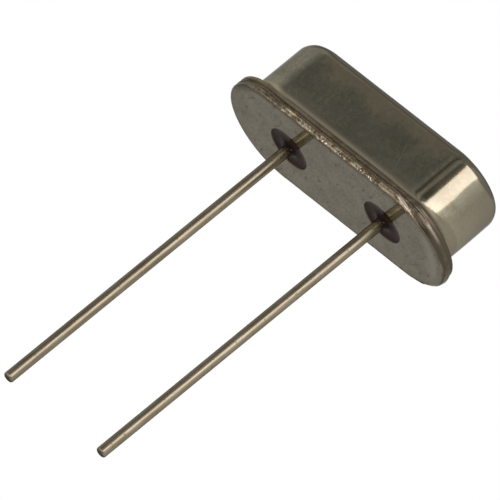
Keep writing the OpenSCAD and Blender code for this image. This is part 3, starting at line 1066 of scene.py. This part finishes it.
def screen(name, points, level):
    """A sheet of points in millimetres with a level at each, seen only in reflections."""
    index = np.arange(level.size).reshape(level.shape)
    faces = np.stack([index[:-1, :-1], index[:-1, 1:], index[1:, 1:], index[1:, :-1]], -1)
    mesh = bpy.data.meshes.new(name)
    mesh.from_pydata(points.reshape(-1, 3) * MILLIMETRE, [], faces.reshape(-1, 4))
    store = mesh.attributes.new("level", "FLOAT", "POINT")
    store.data.foreach_set("value", level.ravel().astype(np.float32))
    sheet = bpy.data.objects.new(name, mesh)
    bpy.context.scene.collection.objects.link(sheet)
    sheet.data.materials.append(lit(name))
    sheet.visible_camera = sheet.visible_diffuse = sheet.visible_shadow = False
    sheet.visible_transmission = False


def bearing(turn, rise):
    """Direction at an angle from -Y towards +X and an angle above the seat, in degrees."""
    turn, rise = np.radians(turn), np.radians(rise)
    across = np.cos(rise)
    return np.stack([across * np.sin(turn), -across * np.cos(turn), np.sin(rise) + 0 * turn], -1)


turn = np.linspace(-180, 180, 721)
rise = np.linspace(-90, 90, 181)[:, None]
high_from = HIGH_START - HIGH_DROP * eased(-turn, 85.0, 105.0)
high = eased(rise, high_from, high_from + HIGH_FADE)
low_level = np.interp(turn, *np.transpose(LOW_LEVELS))
high_level = np.interp(turn, *np.transpose(HIGH_LEVELS))
over_level = low_level + (high_level - low_level) * high
near = eased_within(turn, -110.0, -85.0, -26.0, -14.0)
far = eased_within(turn, 35.0, 90.0, 150.0, 170.0)
front = eased_within(turn, -75.0, -60.0, -5.0, 5.0) * (1 - eased(-rise, 24.0, 34.0))
shine = eased_within(turn, -6.0, 4.0, 24.0, 34.0) * eased_within(-rise, 6.0, 11.0, 36.0, 46.0)
ground = GROUND_LEVEL + (NEAR_LEVEL - GROUND_LEVEL) * near + (FAR_LEVEL - GROUND_LEVEL) * far
ground = ground + (FRONT_LEVEL - ground) * front * (1 - 0.5 * eased(turn, -45.0, -25.0))
under_level = ground + (SHINE_LEVEL - ground) * shine
level = np.where(rise < 0, under_level, over_level)
screen("surround", bearing(turn + 0 * rise, rise + 0 * turn) * SCREEN_DISTANCE, level)


# The soft box is a plain rectangle of light above and to the right of the part. Its place
# is given in degrees and millimetres as seen from the part, and its glow as a surface's.
BOX_TURN, BOX_RISE = 37.6, 30.0
BOX_HALF_WIDTH, BOX_HALF_HEIGHT = 15.9, 29.5
BOX_DISTANCE = 200.0
BOX_GLOW = 3.12
BOX_COLOUR = (1.0, 0.895, 0.945)


def posed(right, up, toward, spot):
    """Matrix of a lamp or a camera from its three axes and its place in millimetres."""
    pose = np.eye(4)
    pose[:3, 0], pose[:3, 1], pose[:3, 2] = right, up, toward
    pose[:3, 3] = spot * MILLIMETRE
    return Matrix(pose)


box = bpy.data.lights.new("soft_box", "AREA")
box.shape = "RECTANGLE"
box.size = 2 * BOX_DISTANCE * np.tan(np.radians(BOX_HALF_WIDTH)) * MILLIMETRE
box.size_y = 2 * BOX_DISTANCE * np.tan(np.radians(BOX_HALF_HEIGHT)) * MILLIMETRE
box.energy = BOX_GLOW * np.pi * box.size * box.size_y
box.color = BOX_COLOUR
soft_box = bpy.data.objects.new("soft_box", box)
bpy.context.scene.collection.objects.link(soft_box)
towards = bearing(BOX_TURN, BOX_RISE)
across = bearing(BOX_TURN + 90, 0.0)
soft_box.matrix_world = posed(across, np.cross(towards, across), towards, towards * BOX_DISTANCE)
soft_box.visible_camera = False


# White all round: it lights the part at a plain level, and is pure white where the camera,
# the metal or the glass looks at it.
AMBIENT = 0.72
world = bpy.data.worlds.new("studio")
bpy.context.scene.world = world
world.use_nodes = True
tree = world.node_tree
ray = Wire(tree).node("LightPath", {}, {}, out="Is Camera Ray")
seen = ray
for kind in ("Is Glossy Ray", "Is Transmission Ray"):
    seen = seen.math("MAXIMUM", seen, Wire(tree, ray.socket.node.outputs[kind]))
background = tree.nodes["Background"]
tree.links.new((AMBIENT + seen * (1 - AMBIENT)).socket, background.inputs["Strength"])
background.inputs["Color"].default_value = (1, 1, 1, 1)


# The floor is a pale paper disc just under the lead tips. It fades out towards its edge, and
# nothing of it is seen from below.
FLOOR_RADIUS = 90.0
FLOOR_GAP = 0.002
FLOOR_FADE = (0.45, 0.98)
PAPER = (0.86, 0.86, 0.86)
turn = np.linspace(0, 2 * np.pi, 96, endpoint=False)
ring = np.linspace(0, FLOOR_RADIUS, 10)[:, None]
depth = 0 * ring * turn - LEAD_LENGTH - FLOOR_GAP
floor_points = np.stack([ring * np.cos(turn), ring * np.sin(turn), depth], -1)
index = np.arange(depth.size).reshape(depth.shape)
ahead = np.roll(index, -1, axis=1)
faces = np.stack([index[:-1], index[1:], ahead[1:], ahead[:-1]], -1)
floor_mesh = bpy.data.meshes.new("floor")
floor_mesh.from_pydata(floor_points.reshape(-1, 3) * MILLIMETRE, [], faces.reshape(-1, 4))
floor = bpy.data.objects.new("floor", floor_mesh)
bpy.context.scene.collection.objects.link(floor)
floor.visible_glossy = False
floor_material = bpy.data.materials.new("pale_floor")
floor_material.use_nodes = True
tree = floor_material.node_tree
tree.nodes.clear()
spot = place(tree)
x, y = along(spot, "X"), along(spot, "Y")
away = x.math("SQRT", x * x + y * y)
back = Wire(tree).node("NewGeometry", {}, {}, out="Backfacing")
clear = back.math("MAXIMUM", back, away.step(*(FLOOR_RADIUS * share for share in FLOOR_FADE)))
paper = spot.node("BsdfDiffuse", {}, {"Color": PAPER})
nothing = spot.node("BsdfTransparent", {}, {})
mixed = spot.node("MixShader", {}, {0: clear, 1: paper, 2: nothing})
end = tree.nodes.new("ShaderNodeOutputMaterial")
tree.links.new(mixed.socket, end.inputs["Surface"])
floor.data.materials.append(floor_material)


# The camera stands far off with a long lens, below the seat and to the right of the part.
SENSOR = 36.0
LENS = 1021.406
CLIP = (0.05, 5.0)
CAMERA_RIGHT = np.array([0.669425, 0.134035, 0.730688])
CAMERA_UP = np.array([-0.531750, -0.600395, 0.597301])
CAMERA_SPOT = np.array([258.5764, -393.2369, -168.8701])
camera = bpy.data.cameras.new("camera")
camera.sensor_width = SENSOR
camera.lens = LENS
camera.clip_start, camera.clip_end = CLIP
eye = bpy.data.objects.new("camera", camera)
bpy.context.scene.collection.objects.link(eye)
camera_back = np.cross(CAMERA_RIGHT, CAMERA_UP)
eye.matrix_world = posed(CAMERA_RIGHT, CAMERA_UP, camera_back, CAMERA_SPOT)
bpy.context.scene.camera = eye
bpy.context.scene.view_settings.view_transform = "Standard"

bpy.context.view_layer.update()
